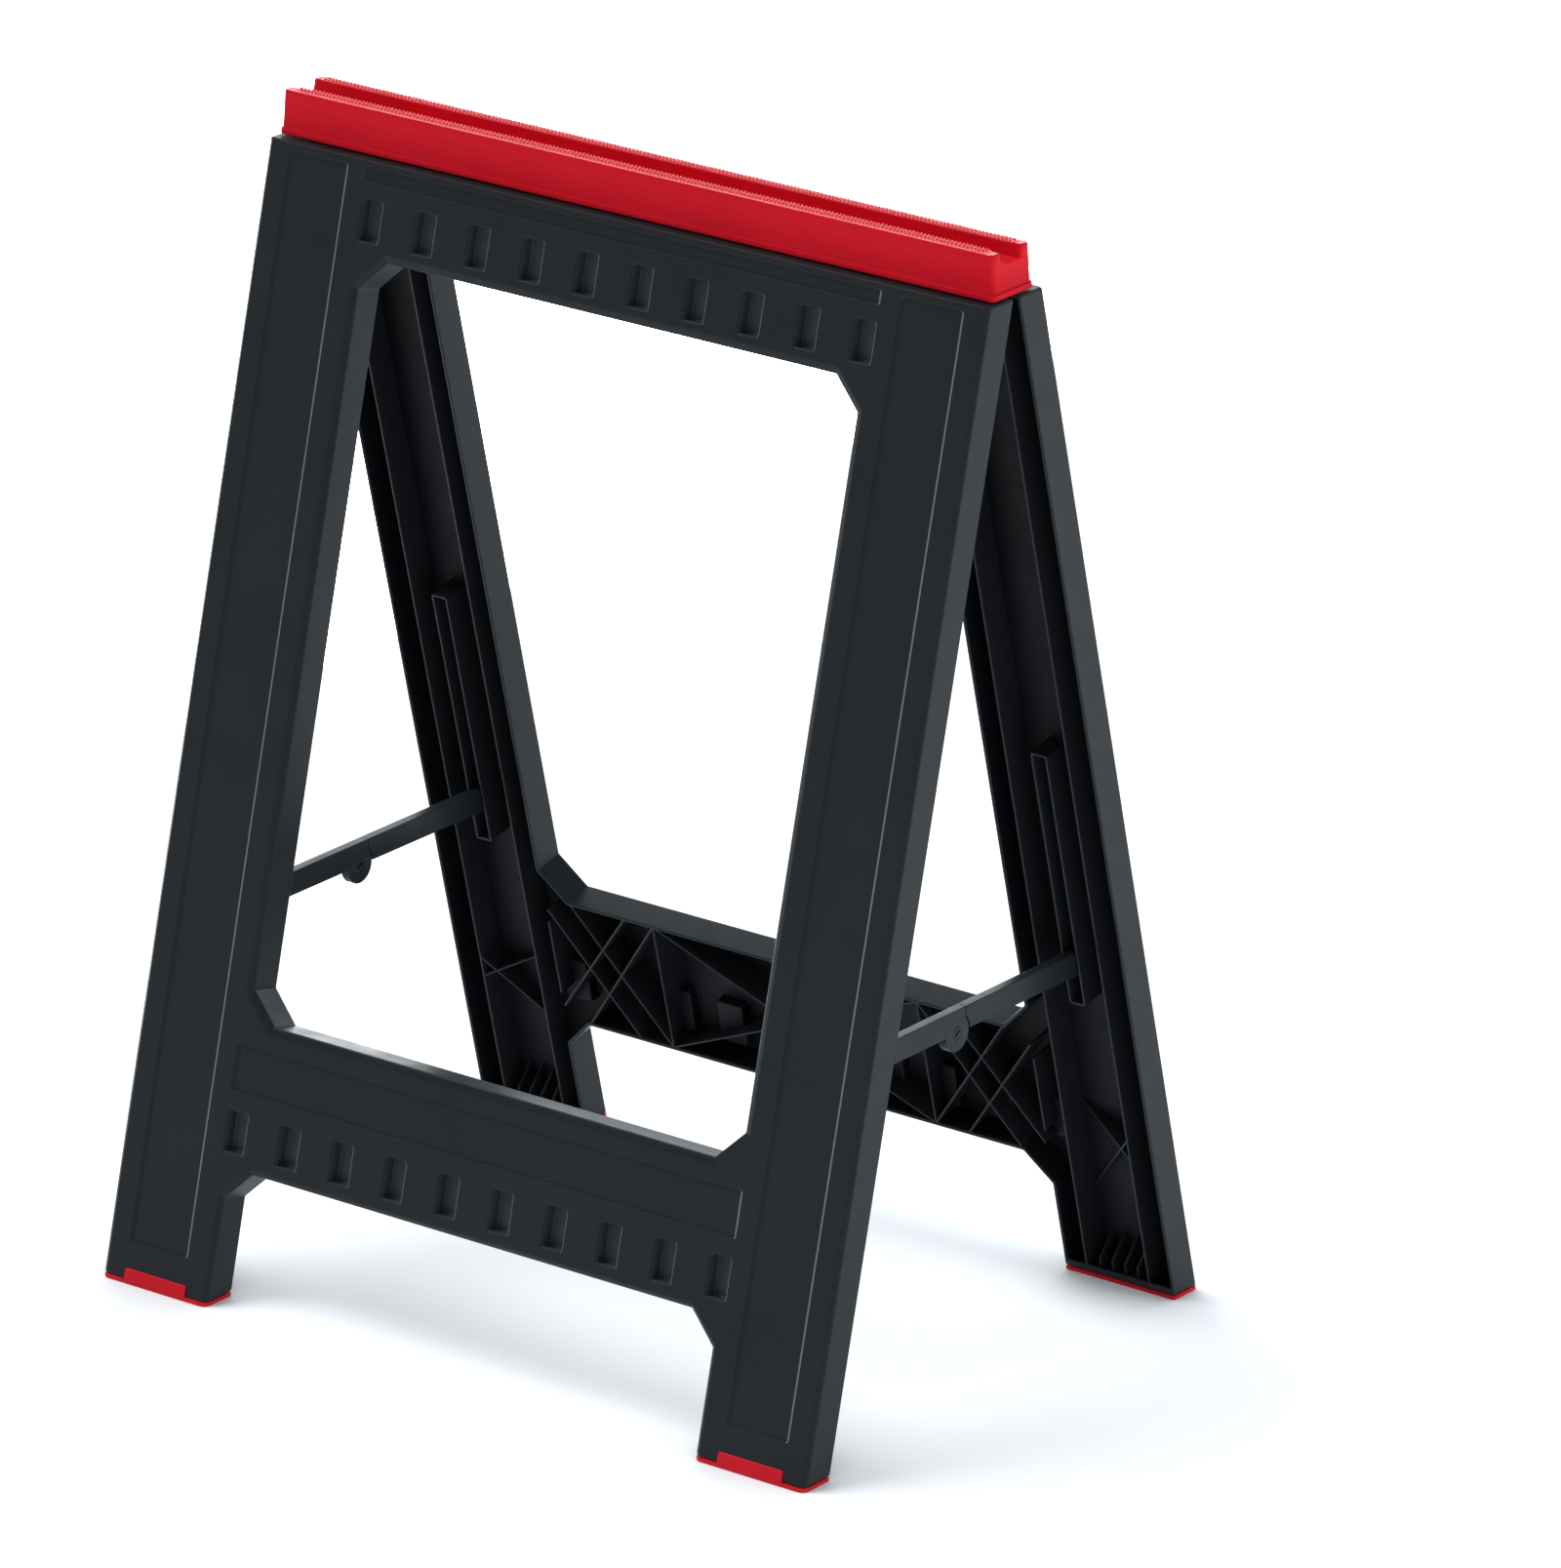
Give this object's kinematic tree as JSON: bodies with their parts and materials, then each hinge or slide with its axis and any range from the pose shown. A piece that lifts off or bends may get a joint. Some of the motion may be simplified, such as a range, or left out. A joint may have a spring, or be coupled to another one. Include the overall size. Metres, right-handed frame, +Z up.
{
  "type": "folding sawhorse",
  "caption": "Moulded folding sawhorse: ribbed leg frames hinged under a grooved top rail, held open by jointed braces, with pocketed crossbars and capped feet.",
  "frame": {"origin": "on the floor, at the middle of the four feet, under the middle of the rail, with the legs open", "axes": "+X along the rail, +Y towards the rear frame, +Z up"},
  "size_m": [0.564, 0.4172, 0.7476],
  "materials": {
    "red_plastic": "semi-matt moulded red plastic, lightly textured",
    "grip_rubber": "matt red rubbery inlay with raised dots",
    "foot_rubber": "matt red rubber",
    "black_plastic": "semi-matt charcoal moulded plastic, finely textured",
    "steel": "plain drawn steel pin"
  },
  "bodies": {
    "rail": {"top_rail": "red_plastic", "front_grip_strip": "grip_rubber", "rear_grip_strip": "grip_rubber", "front_hinge_pin_left_outer": "steel", "front_hinge_pin_left_inner": "steel", "front_hinge_pin_right_outer": "steel", "front_hinge_pin_right_inner": "steel", "rear_hinge_pin_left_outer": "steel", "rear_hinge_pin_left_inner": "steel", "rear_hinge_pin_right_outer": "steel", "rear_hinge_pin_right_inner": "steel"},
    "front_leg_frame": {"front_frame": "black_plastic", "front_foot_cap_left": "foot_rubber", "front_foot_cap_right": "foot_rubber", "front_brace_pin_left": "steel", "front_brace_pin_right": "steel"},
    "rear_leg_frame": {"rear_frame": "black_plastic", "rear_foot_cap_left": "foot_rubber", "rear_foot_cap_right": "foot_rubber", "rear_brace_pin_left": "steel", "rear_brace_pin_right": "steel"},
    "front_brace_bar_left": {"front_brace_left": "black_plastic", "knee_rivet_left_a": "black_plastic", "knee_rivet_left_b": "black_plastic"},
    "rear_brace_bar_left": {"rear_brace_left": "black_plastic"},
    "front_brace_bar_right": {"front_brace_right": "black_plastic", "knee_rivet_right_a": "black_plastic", "knee_rivet_right_b": "black_plastic"},
    "rear_brace_bar_right": {"rear_brace_right": "black_plastic"}
  },
  "joints": [
    {"name": "front_frame_fold", "type": "hinge", "parent": "rail", "child": "front_leg_frame", "pos_m": [0, -0.005, 0.72204], "axis": [1, 0, 0], "range_deg": [0, 14]},
    {"name": "rear_frame_fold", "type": "hinge", "parent": "rail", "child": "rear_leg_frame", "pos_m": [0, 0.005, 0.72204], "axis": [1, 0, 0], "range_deg": [-14, 0]},
    {"name": "front_brace_fold_left", "type": "hinge", "parent": "front_leg_frame", "child": "front_brace_bar_left", "pos_m": [-0.2392, -0.129, 0.2371], "axis": [1, 0, 0], "range_deg": [0, 76]},
    {"name": "rear_brace_fold_left", "type": "hinge", "parent": "rear_leg_frame", "child": "rear_brace_bar_left", "pos_m": [-0.2392, 0.129, 0.2371], "axis": [1, 0, 0], "range_deg": [-76, 0]},
    {"name": "front_brace_fold_right", "type": "hinge", "parent": "front_leg_frame", "child": "front_brace_bar_right", "pos_m": [0.2392, -0.129, 0.2371], "axis": [1, 0, 0], "range_deg": [0, 76]},
    {"name": "rear_brace_fold_right", "type": "hinge", "parent": "rear_leg_frame", "child": "rear_brace_bar_right", "pos_m": [0.2392, 0.129, 0.2371], "axis": [1, 0, 0], "range_deg": [-76, 0]}
  ],
  "couplings": [
    {"joint": "rear_frame_fold", "follows": "front_frame_fold", "ratio": -1},
    {"joint": "front_brace_fold_left", "follows": "front_frame_fold", "ratio": 5.4286},
    {"joint": "rear_brace_fold_left", "follows": "front_frame_fold", "ratio": -5.4286},
    {"joint": "front_brace_fold_right", "follows": "front_frame_fold", "ratio": 5.4286},
    {"joint": "rear_brace_fold_right", "follows": "front_frame_fold", "ratio": -5.4286}
  ]
}
